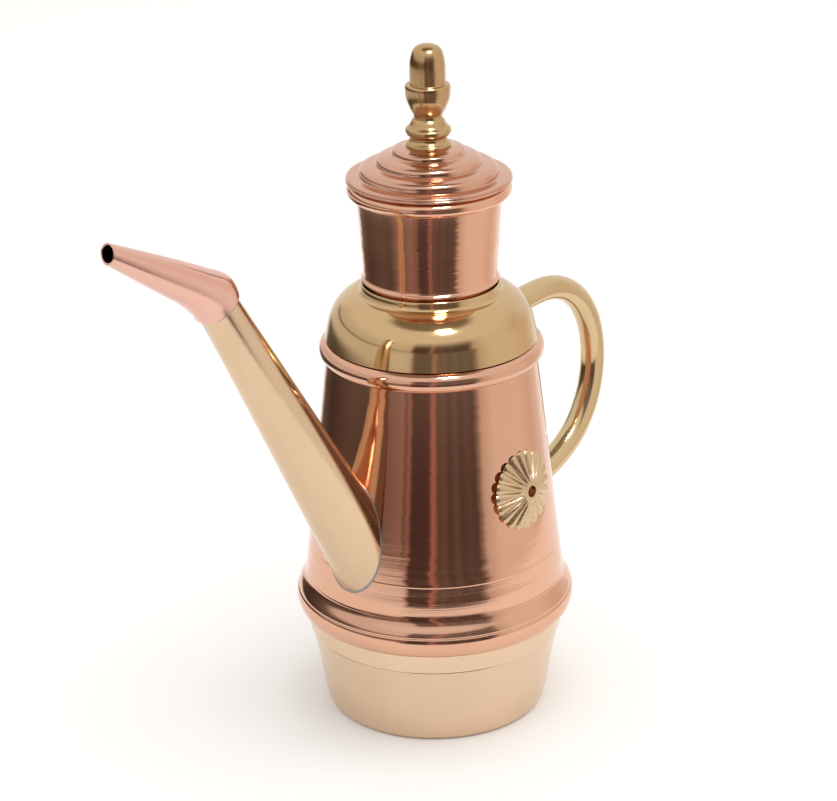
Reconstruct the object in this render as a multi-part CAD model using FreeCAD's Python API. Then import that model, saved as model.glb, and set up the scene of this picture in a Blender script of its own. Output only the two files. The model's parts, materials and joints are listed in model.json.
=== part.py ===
import FreeCAD, Part
import math
import os

# Copper and brass coffee pot with a long straight spout, a tube handle and a lift-off lid, in millimetres.
# The pot stands on z = 0 with its axis on Z. The spout points along -X and the handle along +X.
# Every outline below is given as radius and height, and is turned about the Z axis.

COPPER_SHEET = 1.0        # thickness of the body sheet
THIN_SHEET = 0.9          # thickness of the neck and the lid
TIP_SHEET = 0.7           # thickness of the spout tip
BRASS_SHEET = 1.1         # thickness of the base cup and the shoulder dome
GAP = 0.05                # film left between curved faces of pieces that are soldered together

CUP_FLOOR_R = 45.0        # flat of the base that the pot stands on
CUP_STEP_Z = 35.8         # step under the band that laps into the body
CUP_RIM_Z = 57.0          # top edge of the cup, inside the body's foot

FOOT_EDGE = (56.3, 44.8)  # lower edge of the body sheet, where it turns in under the foot bead
CONE_FOOT = (54.8, 70.0)  # the body is a straight cone from here
CONE_TOP_R = 44.8         # radius where the cone meets the upper bead

UPPER_BEAD = (43.1, 163.55)   # centre of the rolled bead round the shoulder
UPPER_BEAD_R = 4.4
RIM_BEAD = (31.2, 233.2)      # centre of the rolled bead round the mouth
RIM_BEAD_R = 3.1
FOOT_WIRE = (56.9, 48.9)      # wire inside the foot bead
FOOT_WIRE_R = 1.4

DOME_FOOT_Z = 168.15      # lower edge of the shoulder dome, on top of the upper bead
COLLAR_R = 28.2           # hole in the dome that the neck passes through

SPOUT_ROOT = (59.4, 107.3)    # a point on the spout's axis, and the tube's radius there
SPOUT_ROOT_R = 14.0
SPOUT_ANGLE = 59.5            # degrees above the horizontal
SPOUT_TAPER = 0.0442          # radius lost per millimetre along the tube
SPOUT_BACK = 48.0             # length of the axis kept behind the root, to cut the tube to the body
SPOUT_LENGTH = 129.0          # length of the axis from the root point to the tube's end in the tip
SPOUT_WALL = 1.0

# The tip's sections: distance from the pot's axis, height, tilt of the section's normal above the
# horizontal, half height and half width.
TIP_SECTIONS = (
    (124.3, 217.4, 58.0, 10.2, 9.15),
    (125.3, 219.4, 57.0, 10.5, 9.1),
    (127.0, 221.6, 54.0, 10.6, 9.0),
    (129.6, 223.8, 50.5, 10.1, 8.85),
    (133.5, 226.3, 45.5, 9.2, 8.5),
    (139.0, 229.7, 38.0, 8.25, 7.95),
    (178.3, 252.4, 12.0, 4.15, 3.7),
)

HANDLE_R = 5.45
HANDLE_BORE_R = 4.35
# Centre line of the handle, from inside the shoulder to inside the body.
HANDLE_LINE = (
    (36.0, 165.4), (62.0, 166.9), (76.0, 167.2), (90.0, 163.0), (103.0, 151.0), (109.8, 132.0),
    (108.0, 111.5), (98.6, 94.6), (83.5, 84.2), (66.0, 78.4), (46.0, 74.4),
)

ROSETTE_Z = 110.8
ROSETTE_R = 17.0
ROSETTE_PETALS = 20
ROSETTE_RIM = 0.8             # how far the flat rim stands off the body at its top and bottom
ROSETTE_HUB_HEIGHT = 4.9      # how far the hub stands off the body
ROSETTE_CONE_R = 15.4         # foot of the cone
ROSETTE_NECK_R = 4.0          # top of the cone, round the hole
ROSETTE_HOLE_R = 2.5

LID_SEAT_Z = 236.6        # underside of the lid's seat ring, 0.3 above the rim bead
LID_TOP_Z = 251.2         # flat under the finial
SKIRT_R = 27.4            # outside of the ring that plugs the neck
SKIRT_BOTTOM_Z = 219.5
SEAT_R = 33.3

STUD_R = 1.95
STUD_BOTTOM_Z = 245.6
STUD_TOP_Z = 263.0
NUT_FLATS = 7.0
NUT_HEIGHT = 3.2
WASHER_R = 5.0
WASHER_THICKNESS = 0.8

UP = FreeCAD.Vector(0, 0, 1)


class Outline:
    """A closed outline in the XZ half plane that is walked edge by edge and turned about the Z axis."""

    def __init__(self, radius, height):
        self.start = FreeCAD.Vector(radius, 0, height)
        self.end = self.start
        self.edges = []

    def line(self, radius, height):
        point = FreeCAD.Vector(radius, 0, height)
        self.edges.append(Part.LineSegment(self.end, point).toShape())
        self.end = point
        return self

    def lines(self, *points):
        for radius, height in points:
            self.line(radius, height)
        return self

    def arc(self, middle, end):
        through = FreeCAD.Vector(middle[0], 0, middle[1])
        point = FreeCAD.Vector(end[0], 0, end[1])
        self.edges.append(Part.Arc(self.end, through, point).toShape())
        self.end = point
        return self

    def curve(self, *points):
        places = [self.end] + [FreeCAD.Vector(radius, 0, height) for radius, height in points]
        spline = Part.BSplineCurve()
        spline.interpolate(places)
        self.edges.append(spline.toShape())
        self.end = places[-1]
        return self

    def turned(self):
        if self.end.distanceToPoint(self.start) > 1e-6:
            self.line(self.start.x, self.start.z)
        face = Part.Face(Part.Wire(self.edges))
        return face.revolve(FreeCAD.Vector(0, 0, 0), UP, 360)


def on_circle(centre, radius, degrees):
    angle = math.radians(degrees)
    return centre[0] + radius * math.cos(angle), centre[1] + radius * math.sin(angle)


def inside(points, thickness):
    """The run of points, moved to the left of its direction by the sheet's thickness and turned round."""
    moved = []
    for index, (radius, height) in enumerate(points):
        before = points[max(index - 1, 0)]
        after = points[min(index + 1, len(points) - 1)]
        run, rise = after[0] - before[0], after[1] - before[1]
        length = math.hypot(run, rise)
        moved.append((radius - rise / length * thickness, height + run / length * thickness))
    return moved[::-1]


def torus(centre, radius):
    return Part.makeTorus(centre[0], radius, FreeCAD.Vector(0, 0, centre[1]), UP)


def polygon_ring(*points):
    return Outline(*points[0]).lines(*points[1:]).turned()


# ---- body, base and shoulder ------------------------------------------------------------------------

FOOT_CURVE = (
    FOOT_EDGE, (58.2, 45.7), (59.5, 48.0), (60.0, 51.4), (59.2, 55.0), (57.9, 57.4), (56.2, 60.3),
    (55.4, 64.8), CONE_FOOT,
)


def body_core(extra=0.0):
    """The body as a full solid, grown by some extra, to cut other pieces to its surface."""
    bead_bottom = UPPER_BEAD[1] - 4.0
    outer = [(radius + extra, height) for radius, height in FOOT_CURVE]
    core = Outline(0, outer[0][1]).line(*outer[0]).curve(*outer[1:])
    return core.line(CONE_TOP_R + extra, bead_bottom).line(0, bead_bottom).turned()


def base_cup():
    outer = ((48.2, 5.0), (49.3, 10.0), (50.9, 20.0), (52.8, 30.0), (54.2, CUP_STEP_Z))
    band = ((54.7, CUP_STEP_Z + 0.5), (55.2, 45.0), (54.9, CUP_RIM_Z))
    cup = Outline(0, 0).line(CUP_FLOOR_R, 0).arc((46.9, 0.8), (47.75, 2.7)).curve(*outer).lines(*band)
    cup.lines((54.9 - BRASS_SHEET, CUP_RIM_Z), (54.1, 45.0), (53.7, CUP_STEP_Z + 1.2))
    cup.curve(*inside(((47.9, 4.0),) + outer, BRASS_SHEET))
    cup.line(44.6, BRASS_SHEET).line(0, BRASS_SHEET)
    return cup.turned()


def body_shell():
    bead, outer_r, inner_r = UPPER_BEAD, UPPER_BEAD_R, UPPER_BEAD_R - COPPER_SHEET
    drop = math.sqrt(outer_r ** 2 - (CONE_TOP_R - bead[0]) ** 2)
    shell = Outline(*FOOT_EDGE).curve(*FOOT_CURVE[1:]).line(CONE_TOP_R, bead[1] - drop)
    shell.arc(on_circle(bead, outer_r, 0), on_circle(bead, outer_r, 90))
    shell.arc(on_circle(bead, outer_r, 180), on_circle(bead, outer_r, 250))
    shell.line(*on_circle(bead, inner_r, 250))
    shell.arc(on_circle(bead, inner_r, 180), on_circle(bead, inner_r, 90))
    shell.arc(on_circle(bead, inner_r, 0), on_circle(bead, inner_r, 290))
    shell.line(CONE_TOP_R - COPPER_SHEET, bead[1] - drop)
    inner_foot = inside(FOOT_CURVE, COPPER_SHEET)
    shell.line(*inner_foot[0]).curve(*inner_foot[1:])
    return shell.turned()


def shoulder_dome():
    slope = ((44.9, DOME_FOOT_Z), (44.3, 171.4), (43.6, 174.7), (42.6, 178.1), (41.2, 181.1), (39.4, 183.6),
             (37.2, 185.7), (34.8, 187.3), (32.4, 188.5))
    dome = Outline(44.9 - BRASS_SHEET, DOME_FOOT_Z).line(*slope[0]).curve(*slope[1:])
    dome.arc((31.1, 190.0), (30.6, 192.5)).lines((30.0, 192.8), (COLLAR_R, 191.6), (COLLAR_R, 188.9))
    inner = inside(slope[1:], BRASS_SHEET)
    dome.line(*inner[0]).curve(*inner[1:])
    return dome.turned()


def dome_core(extra=0.0):
    """The shoulder as a full solid, to cut the handle to its surface."""
    slope = [(44.9, 160.0), (44.9, DOME_FOOT_Z), (43.6, 174.7), (41.2, 181.1), (37.2, 185.7), (0.0, 188.5)]
    return polygon_ring((0.0, 160.0), *[(max(radius + extra, 0.0), height) for radius, height in slope])


def neck_shell():
    bead, outer_r, inner_r = RIM_BEAD, RIM_BEAD_R, RIM_BEAD_R - THIN_SHEET
    wall = ((28.1, 195.8), (28.35, 202.0), (28.9, 210.0), (29.4, 219.0), (29.9, 226.0),
            on_circle(bead, outer_r, 248))
    neck = Outline(27.9, 186.5).line(28.1, 193.2).arc((29.3, 194.5), wall[0]).curve(*wall[1:])
    neck.line(*on_circle(bead, inner_r, 250))
    neck.arc(on_circle(bead, inner_r, 180), on_circle(bead, inner_r, 90))
    neck.arc(on_circle(bead, inner_r, 0), on_circle(bead, inner_r, 280))
    neck.line(*on_circle(bead, outer_r, 280))
    neck.arc(on_circle(bead, outer_r, 0), on_circle(bead, outer_r, 90))
    neck.arc(on_circle(bead, outer_r, 180), on_circle(bead, outer_r, 229))
    neck.curve((28.95, 226.0), (28.5, 219.0), (28.0, 210.0), (27.4, 202.0), (27.1, 196.0))
    return neck.line(27.0, 186.5).turned()


def base_seam_solder(cup, shell):
    ring = polygon_ring((54.6, 52.5), (59.6, 52.5), (58.0, 57.0), (54.6, 57.0))
    return ring.cut(cup).cut(shell)


def shoulder_seam_solder(dome, shell):
    ring = polygon_ring((41.6, 167.6), (43.9, 168.3), (43.7, 171.0))
    return ring.cut(dome).cut(shell)


def neck_seam_solder(dome, neck):
    ring = polygon_ring((27.8, 186.6), (31.0, 188.1), (27.8, 189.3))
    return ring.cut(dome).cut(neck)


# ---- spout ------------------------------------------------------------------------------------------

def spout_direction(degrees):
    angle = math.radians(degrees)
    return FreeCAD.Vector(-math.cos(angle), 0, math.sin(angle))


def spout_cone(grow=0.0, back=SPOUT_BACK, length=SPOUT_LENGTH):
    """The spout's outside as a full cone, grown by some extra."""
    along = spout_direction(SPOUT_ANGLE)
    root = FreeCAD.Vector(-SPOUT_ROOT[0], 0, SPOUT_ROOT[1])
    first = SPOUT_ROOT_R + SPOUT_TAPER * back + grow
    last = SPOUT_ROOT_R - SPOUT_TAPER * length + grow
    return Part.makeCone(first, last, back + length, root - along * back, along)


def tip_section(section, inset=0.0, shift=0.0):
    distance, height, tilt, half_height, half_width = section
    normal = spout_direction(tilt)
    centre = FreeCAD.Vector(-distance, 0, height) + normal * shift
    rise = spout_direction(tilt + 90) * (half_height - inset)
    side = FreeCAD.Vector(0, half_width - inset, 0)
    return Part.Wire(Part.Ellipse(centre + rise, centre + side, centre).toShape())


def tip_loft(inset=0.0, overrun=0.0):
    wires = [tip_section(section, inset) for section in TIP_SECTIONS]
    wires[0] = tip_section(TIP_SECTIONS[0], inset, -overrun)
    wires[-1] = tip_section(TIP_SECTIONS[-1], inset, overrun)
    return Part.makeLoft(wires, True, True)


def spout_root_solder():
    ring = spout_cone(2.2).common(body_core(1.3)).cut(body_core(GAP))
    return ring.cut(spout_cone(GAP, SPOUT_BACK + 1.0))


def spout_tip_solder():
    distance, height, tilt = TIP_SECTIONS[0][:3]
    normal = spout_direction(tilt)
    centre = FreeCAD.Vector(-distance, 0, height)
    slab = Part.makeCylinder(20.0, 1.8, centre + normal * 0.3, normal)
    return tip_loft(TIP_SHEET + GAP, 1.0).common(slab).cut(spout_cone(GAP))


# ---- handle -----------------------------------------------------------------------------------------

def handle_sweep(radius):
    """A round bar along the handle's centre line, which is a smooth curve through its points."""
    line = Part.BSplineCurve()
    line.interpolate([FreeCAD.Vector(distance, 0, height) for distance, height in HANDLE_LINE])
    heading = line.tangent(line.FirstParameter)[0]
    circle = Part.Circle(line.value(line.FirstParameter), heading, radius)
    return Part.Wire(line.toShape()).makePipe(Part.Face(Part.Wire(circle.toShape())))


def pot_envelope(extra):
    bead = torus(UPPER_BEAD, UPPER_BEAD_R + extra)
    return body_core(extra).fuse([dome_core(extra), bead])


def handle_tube():
    tube = handle_sweep(HANDLE_R).cut(handle_sweep(HANDLE_BORE_R))
    return largest(tube.cut(pot_envelope(GAP)))


def handle_solder(low, high):
    """The fillet of solder round one end of the handle, between two heights."""
    zone = Part.makeBox(60, 60, high - low, FreeCAD.Vector(20, -30, low))
    ring = handle_sweep(HANDLE_R + 1.8).common(pot_envelope(1.4)).common(zone)
    return ring.cut(pot_envelope(GAP)).cut(handle_sweep(HANDLE_R + GAP))


# ---- rosettes ---------------------------------------------------------------------------------------

def rosette():
    """A round boss on the pot's -Y side: a flat scalloped rim and a low cone up to its hub."""
    lean = math.atan2(CONE_FOOT[0] - CONE_TOP_R, UPPER_BEAD[1] - 4.0 - CONE_FOOT[1])
    body_r = CONE_FOOT[0] - (ROSETTE_Z - CONE_FOOT[1]) * math.tan(lean)
    centre = FreeCAD.Vector(0, -body_r, ROSETTE_Z)
    outward = FreeCAD.Vector(0, -math.cos(lean), math.sin(lean))
    sideways = FreeCAD.Vector(1, 0, 0)
    upward = FreeCAD.Vector(0, math.sin(lean), math.cos(lean))
    back = centre - outward * 5.0
    edges = []
    for petal in range(ROSETTE_PETALS):
        places = []
        for part, radius in ((0.0, ROSETTE_R - 1.2), (0.5, ROSETTE_R), (1.0, ROSETTE_R - 1.2)):
            angle = 2 * math.pi * (petal + part) / ROSETTE_PETALS
            places.append(back + sideways * (radius * math.cos(angle)) + upward * (radius * math.sin(angle)))
        edges.append(Part.Arc(*places).toShape())
    rim = Part.Face(Part.Wire(edges)).extrude(outward * (5.0 + ROSETTE_RIM))
    rise = ROSETTE_HUB_HEIGHT - ROSETTE_RIM
    cone = Part.makeCone(ROSETTE_CONE_R, ROSETTE_NECK_R, rise, centre + outward * ROSETTE_RIM, outward)
    hole = Part.makeCylinder(ROSETTE_HOLE_R, 20, back, outward)
    return rim.fuse(cone).cut(body_core(GAP)).cut(hole).removeSplitter()


# ---- lid --------------------------------------------------------------------------------------------

def lid_cover():
    seat = LID_SEAT_Z + 0.15
    lid = Outline(33.5, seat).line(34.25, seat).curve((34.5, 237.1), (34.45, 237.5), (34.1, 237.85))
    lid.curve((34.3, 238.2), (34.0, 238.7), (32.8, 239.2), (31.0, 239.5), (29.0, 239.9))
    lid.curve((28.9, 240.9), (28.65, 241.8), (28.0, 242.5), (26.8, 242.9), (24.5, 243.6), (22.0, 244.6))
    lid.curve((21.9, 245.2), (21.5, 246.0), (20.7, 246.6), (19.7, 246.95), (17.5, 247.8), (15.2, 248.9))
    lid.curve((15.15, 249.4), (14.8, 249.9), (14.2, 250.25), (13.2, 250.5), (9.8, LID_TOP_Z))
    lid.line(STUD_R + 0.35, LID_TOP_Z).line(STUD_R + 0.35, LID_TOP_Z - THIN_SHEET)
    lid.lines((5.5, LID_TOP_Z - THIN_SHEET), (12.0, LID_TOP_Z - 1.6), (14.2, 248.5), (19.6, 245.9))
    lid.lines((21.0, 243.9), (26.6, 242.0), (28.0, 240.9), (28.1, 239.1), (32.6, 238.3), (33.4, 237.8))
    return lid.turned()


def lid_skirt():
    inner_r = SKIRT_R - 0.8
    seat_top = LID_SEAT_Z + 0.8
    return polygon_ring((inner_r, SKIRT_BOTTOM_Z), (SKIRT_R, SKIRT_BOTTOM_Z), (SKIRT_R, LID_SEAT_Z),
                        (SEAT_R, LID_SEAT_Z), (SEAT_R, seat_top), (inner_r, seat_top))


def lid_skirt_solder(cover):
    seat_top = LID_SEAT_Z + 0.8
    return polygon_ring((31.4, seat_top), (SEAT_R, seat_top), (32.9, 238.7)).cut(cover)


def finial():
    knob = Outline(STUD_R + GAP, LID_TOP_Z).line(9.2, LID_TOP_Z).arc((9.55, 252.1), (9.0, 252.9))
    knob.curve((8.1, 253.7), (7.75, 254.7), (8.1, 255.8)).arc((9.5, 257.7), (8.3, 259.6))
    knob.curve((7.7, 260.4), (6.9, 261.9), (6.0, 263.1)).curve((5.95, 263.9), (6.85, 266.1), (7.9, 268.3),
               (8.75, 270.5), (9.25, 272.8), (9.4, 275.0), (9.3, 276.5))
    knob.arc((9.0, 277.2), (8.3, 277.45)).line(7.4, 277.5)
    knob.curve((7.4, 283.0), (7.15, 287.2), (6.5, 289.9), (5.5, 292.0), (4.0, 293.2), (2.0, 293.8),
               (0, 293.95))
    knob.line(0, STUD_TOP_Z + 0.5).line(STUD_R + GAP, STUD_TOP_Z + 0.5)
    return knob.turned()


def finial_stud():
    return Part.makeCylinder(STUD_R, STUD_TOP_Z - STUD_BOTTOM_Z, FreeCAD.Vector(0, 0, STUD_BOTTOM_Z), UP)


def finial_washer():
    top = LID_TOP_Z - THIN_SHEET
    bottom = top - WASHER_THICKNESS
    bore = STUD_R + 0.25
    return polygon_ring((bore, bottom), (WASHER_R, bottom), (WASHER_R, top), (bore, top))


def finial_nut():
    top = LID_TOP_Z - THIN_SHEET - WASHER_THICKNESS
    corner_r = NUT_FLATS / math.sqrt(3)
    corners = [FreeCAD.Vector(corner_r * math.cos(math.radians(60 * turn)),
                              corner_r * math.sin(math.radians(60 * turn)), top - NUT_HEIGHT)
               for turn in range(7)]
    prism = Part.Face(Part.makePolygon(corners)).extrude(UP * NUT_HEIGHT)
    return prism.cut(Part.makeCylinder(STUD_R + GAP, 10, FreeCAD.Vector(0, 0, top - NUT_HEIGHT - 1), UP))


# ---- write one file per piece -----------------------------------------------------------------------

def largest(shape):
    return max(shape.Solids, key=lambda solid: solid.Volume)


def build():
    bore = spout_cone(-SPOUT_WALL, SPOUT_BACK, SPOUT_LENGTH + 1.0)
    cup = base_cup()
    shell = body_shell()
    dome = shoulder_dome()
    neck = neck_shell()
    cover = lid_cover()
    boss = rosette()
    mid_height = UPPER_BEAD[1] - 40.0
    return {
        "base_cup": cup,
        "base_seam_solder": base_seam_solder(cup, shell),
        "foot_bead_wire": torus(FOOT_WIRE, FOOT_WIRE_R),
        "body_shell": shell.cut(bore),
        "upper_bead_wire": torus(UPPER_BEAD, UPPER_BEAD_R - COPPER_SHEET - GAP),
        "shoulder_dome": dome,
        "shoulder_seam_solder": shoulder_seam_solder(dome, shell),
        "neck_shell": neck,
        "neck_seam_solder": neck_seam_solder(dome, neck),
        "rim_bead_wire": torus(RIM_BEAD, RIM_BEAD_R - THIN_SHEET - GAP),
        "spout_tube": largest(spout_cone().cut(bore).cut(body_core(GAP))),
        "spout_root_solder": spout_root_solder(),
        "spout_tip": tip_loft().cut(tip_loft(TIP_SHEET, 1.0)),
        "spout_tip_solder": spout_tip_solder(),
        "handle_tube": handle_tube(),
        "handle_top_solder": largest(handle_solder(mid_height, UPPER_BEAD[1] + 30.0)),
        "handle_bottom_solder": handle_solder(mid_height - 70.0, mid_height),
        "rosette_right": boss,
        "rosette_left": boss.mirror(FreeCAD.Vector(0, 0, 0), FreeCAD.Vector(0, 1, 0)),
        "lid_cover": cover,
        "lid_skirt": lid_skirt(),
        "lid_skirt_solder": lid_skirt_solder(cover),
        "finial": finial(),
        "finial_stud": finial_stud(),
        "finial_washer": finial_washer(),
        "finial_nut": finial_nut(),
    }


os.makedirs("parts", exist_ok=True)
for name, shape in build().items():
    print(name, "solids", len(shape.Solids), "volume", round(shape.Volume, 1), "valid", shape.isValid())
    shape.exportStep("parts/" + name + ".step")
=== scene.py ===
import json
import math

import bpy
import numpy as np
from mathutils import Matrix, Vector


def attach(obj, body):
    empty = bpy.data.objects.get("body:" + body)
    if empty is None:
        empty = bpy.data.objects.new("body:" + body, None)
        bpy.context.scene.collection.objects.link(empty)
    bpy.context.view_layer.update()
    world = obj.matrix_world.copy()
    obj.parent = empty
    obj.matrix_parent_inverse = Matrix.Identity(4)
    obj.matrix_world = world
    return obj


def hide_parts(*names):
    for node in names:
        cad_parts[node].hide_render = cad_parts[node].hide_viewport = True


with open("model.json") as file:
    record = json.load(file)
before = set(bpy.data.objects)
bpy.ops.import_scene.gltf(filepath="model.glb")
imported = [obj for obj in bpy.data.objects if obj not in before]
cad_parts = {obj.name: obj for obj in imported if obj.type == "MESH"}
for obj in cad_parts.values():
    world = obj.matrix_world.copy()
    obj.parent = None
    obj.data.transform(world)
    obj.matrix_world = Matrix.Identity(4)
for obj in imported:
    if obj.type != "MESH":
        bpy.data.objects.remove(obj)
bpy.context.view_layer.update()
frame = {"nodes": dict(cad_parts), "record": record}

MM = 0.001
ROUND = 320  # points round a large turned piece
SIDES = 192  # points round the spout and the plug ring
KNOB_SIDES = 128  # points round the finial
HANDLE_SIDES = 96  # points round the handle
CREASE_ANGLE = 38  # degrees between two faces from which their edge stays sharp

# ---- sizes shared with the CAD model, in millimetres -------------------------------------------------
FOOT = [(56.3, 44.8), (58.2, 45.7), (59.5, 48.0), (60.0, 51.4), (59.2, 55.0), (57.9, 57.4), (56.2, 60.3),
        (55.4, 64.8), (54.8, 70.0)]
CONE_TOP = (44.8, 159.55)
UPPER_BEAD, UPPER_BEAD_R = (43.1, 163.55), 4.4
RIM_BEAD, RIM_BEAD_R = (31.2, 233.2), 3.1
DOME = [(44.9, 168.15), (44.3, 171.4), (43.6, 174.7), (42.6, 178.1), (41.2, 181.1), (39.4, 183.6), (37.2, 185.7),
        (34.8, 187.3), (32.4, 188.5)]
SPOUT_ROOT, SPOUT_ROOT_R, SPOUT_ANGLE, SPOUT_TAPER = (-59.4, 107.3), 14.0, 59.5, 0.0442
SPOUT_END = 129.0
# each section of the tip: distance from the axis, height, tilt in degrees, half height and half width
TIP = [(124.3, 217.4, 58.0, 10.2, 9.15), (125.3, 219.4, 57.0, 10.5, 9.1), (127.0, 221.6, 54.0, 10.6, 9.0),
       (129.6, 223.8, 50.5, 10.1, 8.85), (133.5, 226.3, 45.5, 9.2, 8.5), (139.0, 229.7, 38.0, 8.25, 7.95),
       (178.3, 252.4, 12.0, 4.15, 3.7)]
# the handle's centre line
HANDLE = [(36.0, 165.4), (62.0, 166.9), (76.0, 167.2), (90.0, 163.0), (103.0, 151.0), (109.8, 132.0),
          (108.0, 111.5), (98.6, 94.6), (83.5, 84.2), (66.0, 78.4), (46.0, 74.4)]
HANDLE_R = 5.45
ROSETTE_Z, ROSETTE_R, PETALS = 110.8, 17.0, 20
SHEET = 1.0  # the body's and the spout's wall
THICK_SHEET = 1.1  # the base cup's, the shoulder's and the handle's
TIP_SHEET = 0.7


# ---- outlines ----------------------------------------------------------------------------------------
def curve(points, per):
    """A cubic spline on chord length through three or more points, with so many steps per gap."""
    p = np.array(points, float)
    n = len(p)
    t = np.r_[0, np.cumsum(np.linalg.norm(np.diff(p, axis=0), axis=1))]
    h = np.diff(t)
    a = np.zeros((n, n))
    b = np.zeros((n, p.shape[1]))
    a[0, 0], a[0, 1], a[-1, -1], a[-1, -2] = 1, -1, 1, -1
    for i in range(1, n - 1):
        a[i, i - 1], a[i, i], a[i, i + 1] = h[i - 1], 2 * (h[i - 1] + h[i]), h[i]
        b[i] = 6 * ((p[i + 1] - p[i]) / h[i] - (p[i] - p[i - 1]) / h[i - 1])
    m = np.linalg.solve(a, b)
    out = []
    for i in range(n - 1):
        for k in range(per):
            x = t[i] + h[i] * k / per
            u, v = (t[i + 1] - x) / h[i], (x - t[i]) / h[i]
            q = u * p[i] + v * p[i + 1] + ((u ** 3 - u) * m[i] + (v ** 3 - v) * m[i + 1]) * h[i] ** 2 / 6
            out.append(tuple(q))
    out.append(tuple(p[-1]))
    return out


def arc(centre, radius, start, end, steps):
    angles = np.radians(np.linspace(start, end, steps + 1))
    return [(centre[0] + radius * math.cos(t), centre[1] + radius * math.sin(t)) for t in angles]


def offset(points, distance):
    """The points moved to the left of their run, in the same order."""
    p = np.array(points, float)
    run = np.gradient(p, axis=0)
    run /= np.maximum(np.linalg.norm(run, axis=1), 1e-9)[:, None]
    return [tuple(q) for q in p + np.stack([-run[:, 1], run[:, 0]], 1) * distance]


def clean(points, least=0.01):
    """The closed outline without the points that lie closer than the least distance to the one before."""
    out = [points[0]]
    for q in points[1:]:
        if math.dist(q, out[-1]) > least:
            out.append(q)
    if math.dist(out[0], out[-1]) < least:
        out.pop()
    return out


# ---- meshes ------------------------------------------------------------------------------------------
def piece(name, vertices, faces, body, nodes, slot_name, sharp=CREASE_ANGLE):
    """A smooth-shaded mesh, given in millimetres, that stands in for the named CAD nodes."""
    mesh = bpy.data.meshes.new(name)
    mesh.from_pydata([tuple(c * MM for c in v) for v in vertices], [], faces)
    mesh.validate()
    mesh.update()
    obj = bpy.data.objects.new(name, mesh)
    bpy.context.scene.collection.objects.link(obj)
    mesh.polygons.foreach_set("use_smooth", [True] * len(mesh.polygons))
    mesh.set_sharp_from_angle(angle=math.radians(sharp))
    mesh.materials.append(MATERIALS[slot_name])
    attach(obj, body)
    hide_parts(*nodes)
    return obj


def closed_rows(name, rows, body, nodes, slot_name, sharp=CREASE_ANGLE):
    """Quads over rows of points. Each row closes on itself, and the last row joins the first."""
    count, columns = len(rows), len(rows[0])
    faces = []
    for i in range(count):
        for j in range(columns):
            a, b = i * columns + j, i * columns + (j + 1) % columns
            c = ((i + 1) % count) * columns + j
            d = ((i + 1) % count) * columns + (j + 1) % columns
            faces.append((a, b, d, c))
    return piece(name, [tuple(q) for row in rows for q in row], faces, body, nodes, slot_name, sharp)


def turned(name, outline, body, nodes, slot_name, count=ROUND):
    """A closed outline turned about Z. Where the outline touches the axis the point is shared."""
    outline = clean(outline)
    vertices, rings = [], []
    for r, z in outline:
        if r < 1e-6:
            rings.append([len(vertices)])
            vertices.append((0.0, 0.0, z))
            continue
        rings.append(list(range(len(vertices), len(vertices) + count)))
        for k in range(count):
            t = 2 * math.pi * k / count
            vertices.append((r * math.cos(t), r * math.sin(t), z))
    faces = []
    for a, b in zip(rings, rings[1:] + rings[:1]):
        if len(a) == 1 and len(b) == 1:
            continue
        for k in range(count):
            n = (k + 1) % count
            if len(a) == 1:
                faces.append((a[0], b[n], b[k]))
            elif len(b) == 1:
                faces.append((a[k], a[n], b[0]))
            else:
                faces.append((a[k], a[n], b[n], b[k]))
    return piece(name, vertices, faces, body, nodes, slot_name)


# ---- materials ---------------------------------------------------------------------------------------
LINE_PITCH = 0.55  # millimetres between the fine turning lines
WIDE_LINES = 3.2  # the wider lines' pitch, in fine ones
LINE_STRETCH = (0.012, 0.012, 1)  # draws a noise out sideways, into lines round Z
SKEW_HEIGHTS = (0.062, 0.095)  # metres up between which the skew falls to its share high up


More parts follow.
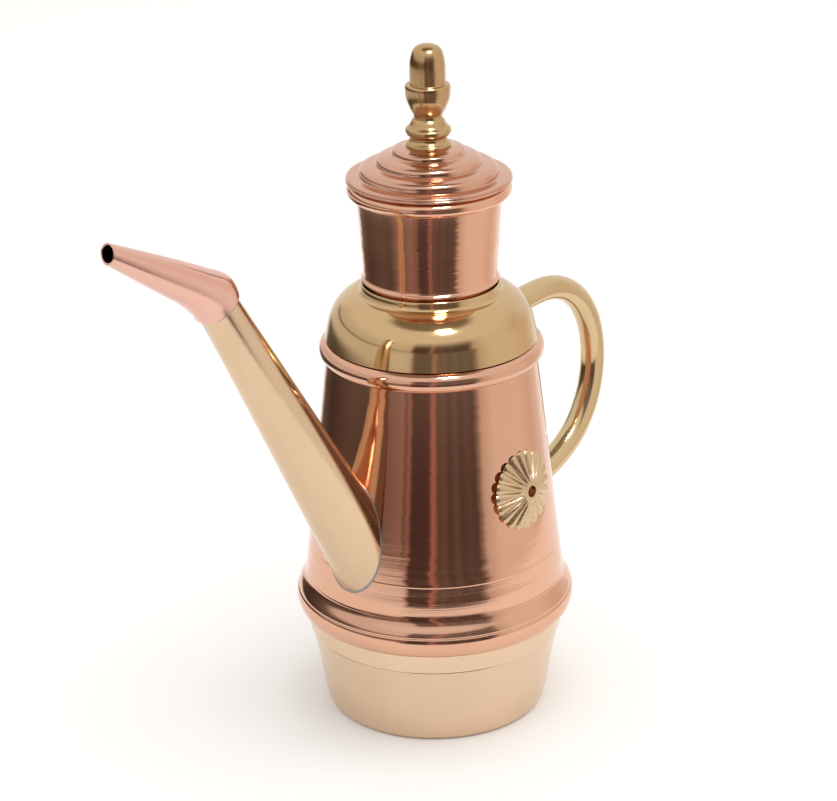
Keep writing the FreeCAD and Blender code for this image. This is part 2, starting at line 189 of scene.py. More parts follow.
def metal(name, colour, rough, lines=0.0, waves=0.0, stain=0.06, brushed=0.0, skew=0.0, skew_high=1.0,
          skew_pitch=1.5):
    """Polished sheet metal with a faint uneven tarnish (stain). The other strengths are for turning lines round Z
    (lines), slow dents from the hammer (waves), a fine grain (brushed) and lines that face aside (skew). The skew
    has its own pitch in millimetres, and the share of it that is left high up."""
    mat = bpy.data.materials.new(name)
    mat.use_nodes = True
    nodes, links = mat.node_tree.nodes, mat.node_tree.links
    shader = nodes["Principled BSDF"]
    shader.inputs["Metallic"].default_value = 1.0
    coords = nodes.new("ShaderNodeTexCoord")

    def noise(scale, detail, stretch=(1, 1, 1)):
        place = nodes.new("ShaderNodeMapping")
        place.inputs["Scale"].default_value = [scale * s for s in stretch]
        links.new(coords.outputs["Object"], place.inputs["Vector"])
        tex = nodes.new("ShaderNodeTexNoise")
        tex.inputs["Scale"].default_value = 1.0
        tex.inputs["Detail"].default_value = detail
        links.new(place.outputs["Vector"], tex.inputs["Vector"])
        return tex.outputs["Fac"]

    def remap(value, low, high):
        """Spreads the middle of a noise, where most of it lies, over a range."""
        node = nodes.new("ShaderNodeMapRange")
        node.inputs["From Min"].default_value, node.inputs["From Max"].default_value = 0.3, 0.7
        node.inputs["To Min"].default_value, node.inputs["To Max"].default_value = low, high
        links.new(value, node.inputs["Value"])
        return node.outputs["Result"]

    patch = noise(38.0, 4.0)
    mix = nodes.new("ShaderNodeMix")
    mix.data_type = "RGBA"
    mix.inputs["A"].default_value = (*colour, 1)
    mix.inputs["B"].default_value = (*[c * 0.8 for c in colour], 1)
    links.new(remap(patch, 0.0, stain * 4), mix.inputs["Factor"])
    links.new(mix.outputs["Result"], shader.inputs["Base Color"])
    fine = noise(1000.0 / LINE_PITCH, 2.0, LINE_STRETCH) if lines else noise(900.0, 2.0)
    links.new(remap(fine, rough * 0.75, rough * 1.3), shader.inputs["Roughness"])
    normal = None
    for height, distance, strength in (
        (noise(1000.0 / LINE_PITCH, 2.0, LINE_STRETCH), 0.00004, lines),
        (noise(1000.0 / (LINE_PITCH * WIDE_LINES), 1.0, (0.02, 0.02, 1)), 0.00012, lines * 0.8),
        (noise(60.0, 1.0), 0.0006, waves),
        (noise(700.0, 3.0), 0.00003, brushed),
    ):
        if strength:
            bump = nodes.new("ShaderNodeBump")
            bump.inputs["Strength"].default_value = strength
            bump.inputs["Distance"].default_value = distance
            links.new(height, bump.inputs["Height"])
            if normal:
                links.new(normal, bump.inputs["Normal"])
            normal = bump.outputs["Normal"]
    if skew:
        height = noise(1000.0 / skew_pitch, 2.0, (0.06, 0.06, 1))
        normal = skewed(nodes, links, normal, coords, height, skew, skew_high)
    if normal:
        links.new(normal, shader.inputs["Normal"])
    return mat


def skewed(nodes, links, normal, coords, height, amount, high_share):
    """Each turning line faces a little to one side, most near the foot, so the edges of reflections are ragged."""
    side = nodes.new("ShaderNodeVectorMath")
    side.operation = "CROSS_PRODUCT"
    side.inputs[1].default_value = (0, 0, 1)
    links.new(normal, side.inputs[0])
    split = nodes.new("ShaderNodeSeparateXYZ")
    links.new(coords.outputs["Object"], split.inputs["Vector"])
    most = nodes.new("ShaderNodeMapRange")
    most.inputs["From Min"].default_value, most.inputs["From Max"].default_value = SKEW_HEIGHTS
    most.inputs["To Min"].default_value, most.inputs["To Max"].default_value = amount, amount * high_share
    links.new(split.outputs["Z"], most.inputs["Value"])
    centred = nodes.new("ShaderNodeMath")
    centred.operation = "SUBTRACT"
    centred.inputs[1].default_value = 0.5
    links.new(height, centred.inputs[0])
    share = nodes.new("ShaderNodeMath")
    share.operation = "MULTIPLY"
    links.new(centred.outputs["Value"], share.inputs[0])
    links.new(most.outputs["Result"], share.inputs[1])
    scaled = nodes.new("ShaderNodeVectorMath")
    scaled.operation = "SCALE"
    links.new(side.outputs["Vector"], scaled.inputs[0])
    links.new(share.outputs["Value"], scaled.inputs["Scale"])
    total = nodes.new("ShaderNodeVectorMath")
    links.new(normal, total.inputs[0])
    links.new(scaled.outputs["Vector"], total.inputs[1])
    unit = nodes.new("ShaderNodeVectorMath")
    unit.operation = "NORMALIZE"
    links.new(total.outputs["Vector"], unit.inputs[0])
    return unit.outputs["Vector"]


MATERIALS = {
    "copper_body": metal("copper_body", (0.73, 0.415, 0.285), 0.09, lines=0.25, waves=0.07, skew=0.30,
                         skew_high=0.12, skew_pitch=2.0),
    "copper_neck": metal("copper_neck", (0.77, 0.43, 0.29), 0.12, lines=0.35, waves=0.02, skew=0.13, skew_pitch=0.6),
    "copper_lid": metal("copper_lid", (0.66, 0.375, 0.26), 0.15, lines=0.15),
    "copper_spout_tip": metal("copper_spout_tip", (0.80, 0.475, 0.39), 0.17, waves=0.12, brushed=0.2),
    "brass_base": metal("brass_base", (0.765, 0.57, 0.40), 0.21, lines=0.04, waves=0.08),
    "brass_dome": metal("brass_dome", (0.63, 0.425, 0.22), 0.10, lines=0.05, waves=0.22),
    "brass_spout": metal("brass_spout", (0.71, 0.52, 0.345), 0.15, waves=0.10, brushed=0.2),
    "brass_handle": metal("brass_handle", (0.65, 0.48, 0.27), 0.12, waves=0.10),
    "brass_rosette": metal("brass_rosette", (0.65, 0.465, 0.29), 0.26, brushed=0.12),
    "brass_finial": metal("brass_finial", (0.53, 0.345, 0.17), 0.20, lines=0.15),
    "tin_solder": metal("tin_solder", (0.34, 0.33, 0.32), 0.40, brushed=0.8, stain=0.12),
    "iron_wire": metal("iron_wire", (0.36, 0.34, 0.32), 0.45, brushed=0.6, stain=0.12),
    "brass_fastener": metal("brass_fastener", (0.63, 0.46, 0.26), 0.25, brushed=0.3),
}
slot_of = {s["node"]: s["material_slot"] for s in frame["record"]["subparts"]}
for node_name, node in frame["nodes"].items():
    node.data.materials.clear()
    node.data.materials.append(MATERIALS[slot_of[node_name]])

# ---- base, body, shoulder and neck -------------------------------------------------------------------
cup_wall = [(48.2, 5.0), (49.3, 10.0), (50.9, 20.0), (52.8, 30.0), (54.1, 35.5)]
cup = [(0.0, 0.0)] + [(6.0 + 38.0 * k / 6, 0.0) for k in range(7)] + arc((44.6, 2.9), 2.9, -90, -8, 14)[:-1]
cup += curve([(47.55, 2.9)] + cup_wall, 8) + [(53.95, 35.75), (54.3, 35.9), (54.65, 36.15), (54.72, 36.6)]
cup += [(55.2, 45.0), (54.9, 56.9), (54.8, 57.0), (53.9, 57.0), (54.1, 45.0), (53.7, 37.0)]
cup += offset(curve([(47.55, 3.5)] + cup_wall, 4), THICK_SHEET)[::-1] + [(44.6, THICK_SHEET), (0.0, THICK_SHEET)]
turned("base_cup_look", cup, "pot", ["base_cup"], "brass_base")

FOOT_CREASE_Z, FOOT_LINE_Z, CONE_LINE_Z = 54.3, 61.5, 75.8
bead_drop = math.sqrt(UPPER_BEAD_R ** 2 - (CONE_TOP[0] - UPPER_BEAD[0]) ** 2)
cone_meets = (CONE_TOP[0], UPPER_BEAD[1] - bead_drop)
meet_angle = math.degrees(math.atan2(-bead_drop, CONE_TOP[0] - UPPER_BEAD[0]))


def on_cone(z):
    """Radius of the body's straight cone at a height."""
    k = (z - FOOT[-1][1]) / (CONE_TOP[1] - FOOT[-1][1])
    return FOOT[-1][0] + (CONE_TOP[0] - FOOT[-1][0]) * k


wall = [(on_cone(z), z) for z in np.linspace(70, cone_meets[1], 40)]
wall += [(on_cone(CONE_LINE_Z + k) + 0.05 * math.exp(-(k / 0.25) ** 2), CONE_LINE_Z + k)
         for k in np.linspace(-0.7, 0.7, 13)]
wall.sort(key=lambda q: q[1])
foot = [(r - 0.26 * math.exp(-((z - FOOT_CREASE_Z) / 0.4) ** 2) + 0.05 * math.exp(-((z - FOOT_LINE_Z) / 0.3) ** 2),
         z) for r, z in curve(FOOT, 24)[:-1]]
body = foot + wall + arc(UPPER_BEAD, UPPER_BEAD_R, meet_angle + 6, 250, 56)
body += arc(UPPER_BEAD, UPPER_BEAD_R - SHEET, 250, -70, 40) + [(cone_meets[0] - SHEET, cone_meets[1] - 0.4)]
body += [(on_cone(z) - SHEET, z) for z in np.linspace(157, 72, 12)] + offset(curve(FOOT, 5), SHEET)[::-1]
turned("body_look", body, "pot", ["body_shell"], "copper_body")

dome = curve(DOME, 8) + arc((31.7, 191.0), 2.5, -100, -180, 12) + [(29.2, 192.0), (29.1, 192.5), (28.9, 192.7)]
dome += [(28.5, 192.5), (28.2, 191.9), (28.2, 188.9)] + offset(curve(DOME, 4), THICK_SHEET)[::-1]
dome.append((43.8, 168.15))
turned("shoulder_look", dome, "pot", ["shoulder_dome"], "brass_dome")

neck_wall = [(28.1, 195.8), (28.35, 202.0), (28.9, 210.0), (29.4, 219.0), (29.9, 226.0), (30.05, 230.3)]
neck = [(27.9, 186.5), (28.05, 193.1)] + arc((28.12, 194.5), 0.85, -75, 70, 14) + curve(neck_wall, 8)
neck += arc(RIM_BEAD, RIM_BEAD_R, 250, 229 + 360, 70) + curve([(28.95, 226.0), (28.5, 219.0), (28.0, 210.0),
                                                             (27.4, 202.0), (27.1, 196.0)], 5) + [(27.0, 186.5)]
turned("neck_look", neck, "pot", ["neck_shell"], "copper_neck")

# ---- lid and finial ----------------------------------------------------------------------------------
lid = [(33.5, 236.75), (34.2, 236.75)] + curve([(34.35, 236.8), (34.55, 237.1), (34.5, 237.5), (34.1, 237.85)], 5)
lid += curve([(34.1, 237.95), (34.3, 238.25), (34.05, 238.7), (33.3, 239.0), (31.6, 239.1), (30.2, 239.15),
              (29.3, 239.3)], 6)
lid += curve([(29.05, 239.5), (28.95, 240.3), (28.8, 241.3), (28.2, 242.3), (26.9, 243.0), (25.0, 243.4),
              (23.2, 243.6), (22.3, 243.8)], 8)
lid += curve([(22.0, 244.1), (21.95, 244.9), (21.7, 245.7), (21.0, 246.5), (19.8, 247.1), (18.2, 247.5),
              (16.6, 247.8), (15.6, 248.1)], 8)
lid += curve([(15.3, 248.4), (15.2, 249.1), (14.9, 249.9), (14.1, 250.4), (13.0, 250.65), (11.6, 250.8),
              (9.8, 251.2)], 8)
lid += [(2.3, 251.2), (2.3, 250.3), (5.5, 250.3), (12.0, 249.6), (14.2, 248.5), (19.6, 245.9), (21.0, 243.9),
        (26.6, 242.0), (28.0, 240.9), (28.1, 239.1), (32.6, 238.3), (33.4, 237.8)]
turned("lid_look", lid, "lid", ["lid_cover"], "copper_lid")
skirt = [(26.6, 219.8), (26.75, 219.5), (27.25, 219.5), (27.4, 219.8), (27.4, 236.6), (33.3, 236.6), (33.3, 237.4),
         (26.6, 237.4)]
turned("lid_plug_look", skirt, "lid", ["lid_skirt"], "copper_lid", SIDES)

knob = [(2.0, 251.2), (9.2, 251.2)] + arc((8.9, 252.0), 0.62, -60, 75, 10)
knob += curve([(8.95, 252.9), (8.1, 253.7), (7.75, 254.7), (8.1, 255.8)], 6)
knob += curve([(8.4, 256.0), (9.2, 256.7), (9.5, 257.7), (9.2, 258.8), (8.4, 259.5)], 6)
knob += curve([(8.1, 259.8), (7.6, 260.4), (6.9, 261.9), (6.05, 263.0)], 6)
knob += curve([(6.0, 263.2), (5.95, 263.9), (6.85, 266.1), (7.9, 268.3), (8.75, 270.5), (9.25, 272.8), (9.4, 275.0),
               (9.3, 276.5), (8.95, 277.2), (8.3, 277.45)], 6)
knob += [(7.55, 277.5), (7.4, 277.7)] + curve([(7.4, 278.0), (7.4, 283.0), (7.15, 287.2), (6.5, 289.9), (5.5, 292.0),
                                             (4.0, 293.2), (2.0, 293.8), (0.0, 293.95)], 8)
knob += [(0.0, 263.5), (2.0, 263.5)]
turned("finial_look", knob, "lid", ["finial"], "brass_finial", KNOB_SIDES)


# ---- spout -------------------------------------------------------------------------------------------
BODY_LINE = np.array(curve(FOOT, 10) + [CONE_TOP, (CONE_TOP[0], 170.0)])
DOME_LINE = np.array(curve(DOME, 4))
HALVINGS = 22  # steps of each search for the place where a line leaves the pot
SPOUT_SEARCH = (-45.0, 60.0)  # along the spout from its root
SPOUT_GAP = 0.06  # between the spout's end and the body


def body_radius(z, grow=0.0):
    """Radius of the body's outside at a height, or of one that is larger all round."""
    return float(np.interp(z, BODY_LINE[:, 1], BODY_LINE[:, 0])) + grow


along = np.array([-math.cos(math.radians(SPOUT_ANGLE)), 0, math.sin(math.radians(SPOUT_ANGLE))])
upward = np.array([-math.sin(math.radians(SPOUT_ANGLE)), 0, -math.cos(math.radians(SPOUT_ANGLE))])
across = np.array([0.0, 1.0, 0.0])
root = np.array([SPOUT_ROOT[0], 0, SPOUT_ROOT[1]])


def spout_point(distance, angle, grow=0.0):
    """A point of the spout's skin, or of one that is larger all round."""
    r = SPOUT_ROOT_R - SPOUT_TAPER * distance + grow
    return root + along * distance + (upward * math.cos(angle) + across * math.sin(angle)) * r


def spout_start(angle, gap, grow=0.0):
    """Where a line along the spout, which starts inside the body, comes out of it."""
    low, high = SPOUT_SEARCH
    for _ in range(HALVINGS):
        middle = (low + high) / 2
        q = spout_point(middle, angle, grow)
        if math.hypot(q[0], q[1]) < body_radius(q[2], gap):
            low = middle
        else:
            high = middle
    return (low + high) / 2


angles = [2 * math.pi * k / SIDES for k in range(SIDES)]
starts = [spout_start(a, SPOUT_GAP) for a in angles]
steps = np.r_[0, 0.004, 0.010, 0.02, np.linspace(0.04, 1, 40)]
outer = [[spout_point(s + (SPOUT_END - s) * k, a) for a, s in zip(angles, starts)] for k in steps]
inner_starts = [spout_start(a, SPOUT_GAP, -SHEET) for a in angles]
inner = [[spout_point(s + (SPOUT_END - s) * k, a, -SHEET) for a, s in zip(angles, inner_starts)]
         for k in (1, 0.5, 0)]
closed_rows("spout_look", outer + inner, "pot", ["spout_tube"], "brass_spout")

FILLET_GAP = 0.04  # between a fillet and the body
fillet = []  # a concave ring of solder, 0.45 wide on the body and 0.5 tall on the tube
for k in np.linspace(0, 1, 7):
    out = 0.45 * (1 - k) ** 2.2 + 0.02
    fillet.append([spout_point(spout_start(a, FILLET_GAP, out) + 0.5 * k ** 1.4, a, out) for a in angles])
fillet.append([spout_point(s - 0.2, a, -0.3) for a, s in zip(angles, starts)])
closed_rows("spout_root_solder_look", fillet, "pot", ["spout_root_solder"], "tin_solder")


def tip_rows(inset):
    """The tip's sections, and the way its mouth faces: a bend, then a straight run from the last but one."""
    sections = np.array(curve(TIP[:6], 6)[:-1] + [tuple(TIP[5][i] + (TIP[6][i] - TIP[5][i]) * k for i in range(5))
                                                 for k in np.linspace(0, 1, 28)])
    rows = []
    for d, z, tilt, high, wide in sections:
        t = math.radians(tilt)
        n = np.array([-math.cos(t), 0, math.sin(t)])
        rise = np.array([-math.cos(t + math.pi / 2), 0, math.sin(t + math.pi / 2)])
        centre = np.array([-d, 0, z])
        rows.append([centre + rise * (high - inset) * math.cos(a) + across * (wide - inset) * math.sin(a)
                     for a in angles])
    return rows, n


outside, mouth_way = tip_rows(0.0)
inside_rows, _ = tip_rows(TIP_SHEET)
lip = [[(p * 0.5 + q * 0.5) + mouth_way * 0.15 for p, q in zip(outside[-1], inside_rows[-1])]]
closed_rows("spout_tip_look", outside + lip + inside_rows[::-1], "pot", ["spout_tip"], "copper_spout_tip")

centre = np.array([-TIP[0][0], 0, TIP[0][1]])
tilt = math.radians(TIP[0][2])
rise = np.array([math.sin(tilt), 0, math.cos(tilt)])
ring = [[], [], [], [], []]  # solder from the tube's outside up to the inside of the tip's edge
for a in angles:
    edge = centre + rise * (TIP[0][3] - 0.35) * math.cos(a) + across * (TIP[0][4] - 0.35) * math.sin(a)
    edge_reach = float((edge - root) @ along)
    tube = [spout_point(edge_reach + step, math.pi - a, 0.04) for step in (-0.75, 0.6)]
    ring[0].append(tube[0])
    ring[1].append((tube[0] + edge) / 2 - along * 0.45)
    ring[2].append(edge - along * 0.3)
    ring[3].append(edge + along * 0.6 - (edge - centre) * 0.04)
    ring[4].append(tube[1])
closed_rows("spout_tip_solder_look", ring[::-1], "pot", ["spout_tip_solder"], "tin_solder")

# ---- handle ------------------------------------------------------------------------------------------
path = np.array(curve(HANDLE, 16))
reach = np.r_[0, np.cumsum(np.hypot(*np.diff(path, axis=0).T))]
total = float(reach[-1])
slope = np.gradient(path, reach, axis=0)


def handle_point(distance, angle, grow=0.0):
    """A point of the handle's skin, or of one that is larger all round."""
    x, z = (np.interp(distance, reach, path[:, i]) for i in range(2))
    way = math.atan2(*(np.interp(distance, reach, slope[:, i]) for i in (1, 0)))
    side = np.array([-math.sin(way), 0, math.cos(way)])
    return np.array([x, 0, z]) + (side * math.cos(angle) + across * math.sin(angle)) * (HANDLE_R + grow)


BEAD_FOOT_Z, DOME_FOOT_Z, DOME_TOP_Z = 159.5, 168.2, 188.4


def in_pot(q, gap):
    """True for a point inside the body, the upper bead or the shoulder, or closer to them than the gap."""
    r = math.hypot(q[0], q[1])
    if q[2] < BEAD_FOOT_Z:
        return r < body_radius(q[2], gap)
    if math.hypot(r - UPPER_BEAD[0], q[2] - UPPER_BEAD[1]) < UPPER_BEAD_R + gap:
        return True
    if q[2] < DOME_FOOT_Z and r < UPPER_BEAD[0]:
        return True
    return q[2] < DOME_TOP_Z and r < float(np.interp(q[2], DOME_LINE[:, 1], DOME_LINE[:, 0])) + gap


def pot_exit(angle, from_start, grow, gap=0.06):
    """Where a line along the handle, which starts inside the pot, comes out of it."""
    low, high = (0.0, 45.0) if from_start else (total, total - 40.0)
    for _ in range(HALVINGS):
        middle = (low + high) / 2
        if in_pot(handle_point(middle, angle, grow), gap):
            low = middle
        else:
            high = middle
    return (low + high) / 2


turns = [2 * math.pi * k / HANDLE_SIDES for k in range(HANDLE_SIDES)]
handle_rows = []
for grow, shares in ((0.0, np.linspace(0, 1, 150)), (-THICK_SHEET, np.linspace(1, 0, 90))):
    ends = [(pot_exit(a, True, grow), pot_exit(a, False, grow)) for a in turns]
    handle_rows += [[handle_point(s + (e - s) * k, a, grow) for a, (s, e) in zip(turns, ends)] for k in shares]
closed_rows("handle_look", handle_rows, "pot", ["handle_tube"], "brass_handle")
for label, from_start, node in (("top", True, "handle_top_solder"), ("bottom", False, "handle_bottom_solder")):
    sign = 1 if from_start else -1
    rows = []
    for k in np.linspace(0, 1, 6):
        out = 1.3 * (1 - k) ** 2.2 + 0.02
        lift = sign * k ** 1.4
        rows.append([handle_point(pot_exit(a, from_start, out, FILLET_GAP) + lift, a, out) for a in turns])
    rows.append([handle_point(pot_exit(a, from_start, -0.3, FILLET_GAP) - sign * 0.1, a, -0.3) for a in turns])
    closed_rows("handle_" + label + "_solder_look", rows, "pot", [node], "tin_solder")


# ---- rosettes ----------------------------------------------------------------------------------------
HUB_HOLE_R, HUB_R = 2.5, 3.9
RIM_HEIGHT, CONE_HEIGHT, FLUTE_DEPTH, SCALLOP = 0.75, 3.95, 0.95, 1.25
BEND_SHARE = 0.3  # how much of the round wall's bend the boss follows
UNDERCUT = 0.79  # the foot's size, in rims


def rosette(name, sign, node):
    """A cast boss on one side of the spout's plane: V flutes run from a flat scalloped rim up a low cone to a hub
    with a hole. Two rows on the body's wall close it behind."""
    lean = math.atan2(FOOT[-1][0] - CONE_TOP[0], CONE_TOP[1] - FOOT[-1][1])
    centre = np.array([0, -body_radius(ROSETTE_Z), ROSETTE_Z])
    outward = np.array([0, -math.cos(lean), math.sin(lean)])
    uphill = np.array([0, math.sin(lean), math.cos(lean)])
    columns, rings = PETALS * 14, 30
    places = []
    for i in range(rings + 1):
        k = i / rings
        row = []
        for j in range(columns):
            t = 2 * math.pi * j / columns
            petal = abs(math.cos(PETALS * t / 2))
            rim = ROSETTE_R - SCALLOP * (1 - petal ** 0.6)
            rho = HUB_HOLE_R + (rim - HUB_HOLE_R) * k
            cone = RIM_HEIGHT + CONE_HEIGHT * (1 - (max(rho, HUB_R) - HUB_R) / (ROSETTE_R - HUB_R)) ** 1.05
            depth = FLUTE_DEPTH * min(1.0, max(0.0, (rho - 3.6) / 3.5))
            fall = 0.35 * max(0.0, (k - 0.9) / 0.1) ** 2
            row.append((rho, t, cone - depth * (1 - petal) ** 1.1 - fall))
        places.append(row)
    bend = BEND_SHARE / (2 * body_radius(ROSETTE_Z))
    rows = [[centre + np.array([1, 0, 0]) * rho * math.cos(t) + uphill * rho * math.sin(t)
             + outward * (max(h, -0.2) - bend * (rho * math.cos(t)) ** 2) for rho, t, h in row] for row in places]
    for i, shrink in ((-1, UNDERCUT), (0, 1.0)):
        on_wall = []
        for q in rows[i]:
            x, z = q[0] * shrink, ROSETTE_Z + (q[2] - ROSETTE_Z) * shrink
            on_wall.append(np.array([x, -math.sqrt((body_radius(z) + 0.07) ** 2 - x * x), z]))
        rows.append(on_wall)
    points = [[(q[0], -sign * q[1], q[2]) for q in row] for row in rows]
    if sign < 0:
        points = [row[::-1] for row in points]
    return closed_rows(name, points, "pot", [node], "brass_rosette", 40)


rosette("rosette_right_look", -1, "rosette_right")
rosette("rosette_left_look", 1, "rosette_left")

# ---- studio ------------------------------------------------------------------------------------------
scene = bpy.context.scene
scene.view_settings.view_transform = "Standard"
world = bpy.data.worlds.new("studio")
scene.world = world
world.use_nodes = True
world.node_tree.nodes["Background"].inputs["Color"].default_value = (1.0, 0.99, 0.975, 1)
world.node_tree.nodes["Background"].inputs["Strength"].default_value = 0.98
WHITE = (0.98, 0.97, 0.955)  # the soft boxes and paper round the pot


def glow(name):
    """A material that gives off its own light. Its colour is still to be linked."""
    mat = bpy.data.materials.new(name)
    mat.use_nodes = True
    nodes, links = mat.node_tree.nodes, mat.node_tree.links
    nodes.remove(nodes["Principled BSDF"])
    emit = nodes.new("ShaderNodeEmission")
    links.new(emit.outputs["Emission"], nodes["Material Output"].inputs["Surface"])
    return mat, nodes, links


def share(nodes, links, value, start, end, most=1.0, smooth=True):
    """Grows from 0, where the value is at its start, to the most, where it is at its end."""
    node = nodes.new("ShaderNodeMapRange")
    node.interpolation_type = "SMOOTHSTEP" if smooth else "LINEAR"
    node.inputs["From Min"].default_value, node.inputs["From Max"].default_value = start, end
    node.inputs["To Max"].default_value = most
    links.new(value, node.inputs["Value"])
    return node.outputs["Result"]


def arithmetic(nodes, links, operation, a, b):
    node = nodes.new("ShaderNodeMath")
    node.operation = operation
    links.new(a, node.inputs[0])
    links.new(b, node.inputs[1])
    return node.outputs["Value"]


def towards_white(nodes, links, amount):
    """A mix of a colour, whose socket is returned to be filled, with white."""
    mix = nodes.new("ShaderNodeMix")
    mix.data_type = "RGBA"
    mix.inputs["B"].default_value = (*WHITE, 1)
    links.new(amount, mix.inputs["Factor"])
    return mix.inputs["A"], mix.outputs["Result"]


def hidden(name, mesh, mat):
    """A thing of the studio that only reflections show."""
    obj = bpy.data.objects.new(name, mesh)
    scene.collection.objects.link(obj)
    mesh.materials.append(mat)
    obj.visible_camera = obj.visible_diffuse = obj.visible_shadow = False
    return obj


floor_mesh = bpy.data.meshes.new("floor")
floor_mesh.from_pydata([(-6, -6, 0), (6, -6, 0), (6, 6, 0), (-6, 6, 0)], [], [(0, 1, 2, 3)])
floor = bpy.data.objects.new("floor", floor_mesh)
scene.collection.objects.link(floor)
floor_mat = bpy.data.materials.new("floor")
floor_mat.use_nodes = True
floor_shader = floor_mat.node_tree.nodes["Principled BSDF"]
floor_shader.inputs["Base Color"].default_value = (0.97, 0.965, 0.955, 1)
floor_shader.inputs["Roughness"].default_value = 0.8
floor_mesh.materials.append(floor_mat)

CAMERA_WAY = math.atan2(-0.7366, -0.8329)  # the camera's side of the pot, as an angle about Z
AROUND = [  # colours round the pot, each at its turn in degrees to the right from the camera's side
    (-150, WHITE), (-140, (0.14, 0.11, 0.09)), (-118, (0.07, 0.05, 0.04)), (-84, (0.13, 0.10, 0.08)),
    (-66, (0.10, 0.08, 0.065)), (-54, (0.26, 0.19, 0.16)), (-40, (0.24, 0.18, 0.16)), (-27, (0.34, 0.24, 0.21)),
    (-24, (0.16, 0.10, 0.09)), (-21, (0.42, 0.24, 0.20)), (-18, (0.08, 0.05, 0.045)), (-5, (0.09, 0.055, 0.05)),
    (-2.5, (0.10, 0.06, 0.05)), (-0.5, (0.46, 0.24, 0.20)), (2.5, (0.40, 0.20, 0.17)), (4.5, (0.12, 0.09, 0.075)),
    (11, (0.17, 0.12, 0.105)), (15, (0.09, 0.07, 0.06)), (21, (0.17, 0.12, 0.105)), (26, (0.10, 0.075, 0.065)),
    (32, (0.14, 0.10, 0.09)), (39, (0.10, 0.075, 0.065)), (43, (0.30, 0.24, 0.21)), (47, (0.72, 0.63, 0.57)),
    (60, (0.93, 0.88, 0.83)), (92, (0.96, 0.90, 0.84)), (112, (0.86, 0.74, 0.64)), (126, (0.93, 0.85, 0.77)),
    (136, WHITE),
]
LEFT_PART = (-19, -23)  # turns between which the left part begins
BAND_STEPS = 96


def surround(name, distance, low, high, lean, lighter, fade, floor_edge, left_fade):
    """A soft-edged band of the colours AROUND the pot, seen only in the metal. Shares of its height say the rest: it
    grows lighter upwards and turns white above the fade, and its left part is white below the floor edge and lighter
    above the left fade. Its ends lean by so many degrees."""
    first, last = AROUND[0][0], AROUND[-1][0]
    vertices, faces, places = [], [], []
    for k in range(BAND_STEPS + 1):
        for v, shift in ((0, -lean), (1, lean)):
            angle = CAMERA_WAY + math.radians(first + (last - first) * k / BAND_STEPS + shift)
            vertices.append((distance * math.cos(angle), distance * math.sin(angle), low + (high - low) * v))
            places.append((k / BAND_STEPS, v))
    for k in range(BAND_STEPS):
        faces.append((2 * k, 2 * k + 2, 2 * k + 3, 2 * k + 1))
    mesh = bpy.data.meshes.new(name)
    mesh.from_pydata(vertices, [], faces)
    flat = mesh.uv_layers.new(name="flat")
    for loop in mesh.loops:
        flat.data[loop.index].uv = places[loop.vertex_index]
    mat, nodes, links = glow(name)
    coords = nodes.new("ShaderNodeTexCoord")
    split = nodes.new("ShaderNodeSeparateXYZ")
    links.new(coords.outputs["UV"], split.inputs["Vector"])
    sideways, upwards = split.outputs["X"], split.outputs["Y"]
    ramp = nodes.new("ShaderNodeValToRGB")
    stops = ramp.color_ramp.elements
    while len(stops) < len(AROUND):
        stops.new(0.5)
    for stop, (turn, colour) in zip(stops, AROUND):
        stop.position = (turn - first) / (last - first)
        stop.color = (*colour, 1)
    links.new(sideways, ramp.inputs["Fac"])
    left = share(nodes, links, sideways, *[(turn - first) / (last - first) for turn in LEFT_PART], smooth=False)
    low_down = share(nodes, links, upwards, *floor_edge[::-1])
    high_up = share(nodes, links, upwards, left_fade, left_fade + 0.2, 0.8)
    either = arithmetic(nodes, links, "MAXIMUM", low_down, high_up)
    shade = ramp.outputs["Color"]
    for amount in (share(nodes, links, upwards, 0.25, 0.8, lighter), share(nodes, links, upwards, fade, fade + 0.45),
                   arithmetic(nodes, links, "MULTIPLY", left, either)):
        before, after = towards_white(nodes, links, amount)
        links.new(shade, before)
        shade = after
    links.new(shade, nodes["Emission"].inputs["Color"])
    return hidden(name, mesh, mat)


surround("near", distance=0.30, low=0.003, high=0.22, lean=2.5, lighter=0.14, fade=2.0, floor_edge=(0.05, 0.13),
         left_fade=0.54)
surround("far", distance=1.2, low=0.0, high=1.0, lean=5, lighter=0.10, fade=0.55, floor_edge=(0.0, 0.001),
         left_fade=0.30)


def ceiling(radius, height, inner, outer, colour):
    """A soft round patch high over the pot that fades to white between an inner and an outer radius."""
    mesh = bpy.data.meshes.new("ceiling")
    rim = [(radius * math.cos(k * math.pi / 24), radius * math.sin(k * math.pi / 24), height) for k in range(48)]
    mesh.from_pydata(rim, [], [tuple(range(48))])
    mat, nodes, links = glow("ceiling")
    coords = nodes.new("ShaderNodeTexCoord")
    far = nodes.new("ShaderNodeVectorMath")
    far.operation = "DISTANCE"
    far.inputs[1].default_value = (0, 0, height)
    links.new(coords.outputs["Object"], far.inputs[0])
    before, after = towards_white(nodes, links, share(nodes, links, far.outputs["Value"], inner, outer))
    before.default_value = (*colour, 1)
    links.new(after, nodes["Emission"].inputs["Color"])
    return hidden("ceiling", mesh, mat)


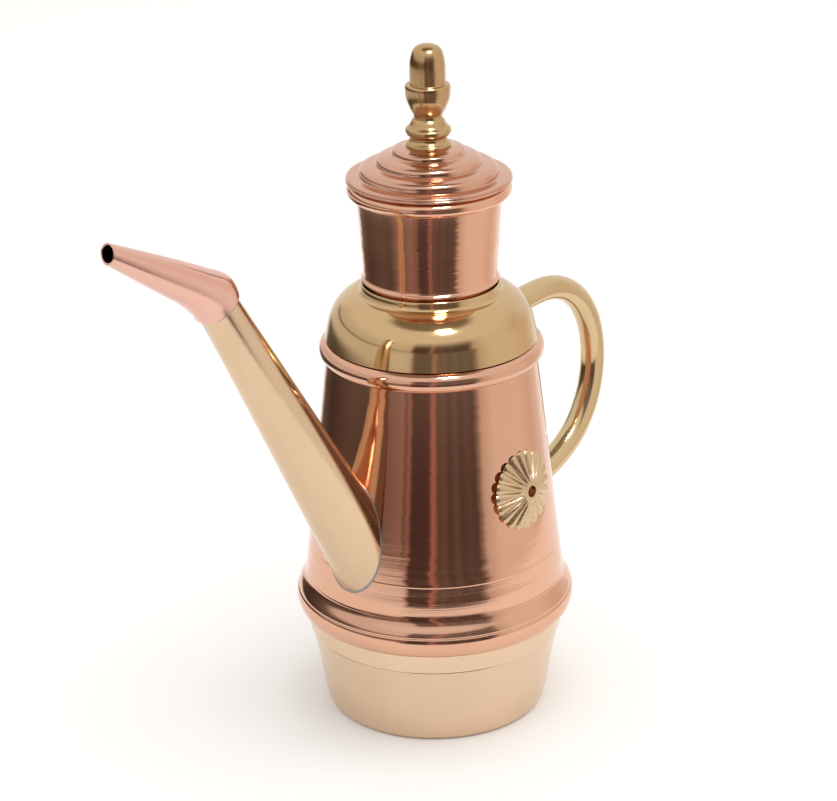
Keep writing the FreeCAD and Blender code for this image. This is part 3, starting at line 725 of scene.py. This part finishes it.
ceiling(radius=0.85, height=1.6, inner=0.52, outer=0.84, colour=(0.30, 0.25, 0.20))


def lamp(name, turn, elevation, distance, size, power):
    """A square lamp that faces the pot. Its turn is counted in degrees to the right from the camera's side."""
    light = bpy.data.lights.new(name, "AREA")
    light.shape = "SQUARE"
    light.size = size
    light.energy = power
    obj = bpy.data.objects.new(name, light)
    angle, e = CAMERA_WAY + math.radians(turn), math.radians(elevation)
    way = Vector((math.cos(angle) * math.cos(e), math.sin(angle) * math.cos(e), math.sin(e)))
    obj.location = way * distance + Vector((0, 0, 0.15))
    obj.rotation_mode = "QUATERNION"
    obj.rotation_quaternion = way.to_track_quat("Z", "Y")
    scene.collection.objects.link(obj)
    return obj


softbox = lamp("softbox", turn=25, elevation=62, distance=1.1, size=0.22, power=9.0)
softbox.visible_diffuse = False
fill = lamp("fill", turn=60, elevation=70, distance=1.6, size=1.4, power=7.0)
fill.visible_glossy = False

# ---- camera ------------------------------------------------------------------------------------------
TURN, AWAY, HEIGHT = math.radians(48.5), 1.1116, 0.5920  # where it stands: round the pot, from it and up
PITCH, YAW, ROLL = math.radians(22.21), math.radians(-0.30), math.radians(-0.95)
ahead = Vector((math.sin(YAW) * math.cos(PITCH), math.cos(YAW) * math.cos(PITCH), -math.sin(PITCH)))
right = ahead.cross(Vector((0, 0, 1))).normalized()
up = right.cross(ahead)
right, up = (math.cos(ROLL) * right + math.sin(ROLL) * up, -math.sin(ROLL) * right + math.cos(ROLL) * up)
turn_back = Matrix.Rotation(-TURN, 3, "Z")
axes = Matrix([turn_back @ right, turn_back @ up, turn_back @ (-ahead)]).transposed()
camera_data = bpy.data.cameras.new("camera")
camera_data.lens, camera_data.sensor_width = 121.41, 36.0
camera = bpy.data.objects.new("camera", camera_data)
camera.matrix_world = Matrix.Translation(turn_back @ Vector((0, -AWAY, HEIGHT))) @ axes.to_4x4()
camera_data.clip_start, camera_data.clip_end = 0.05, 50
scene.collection.objects.link(camera)
scene.camera = camera
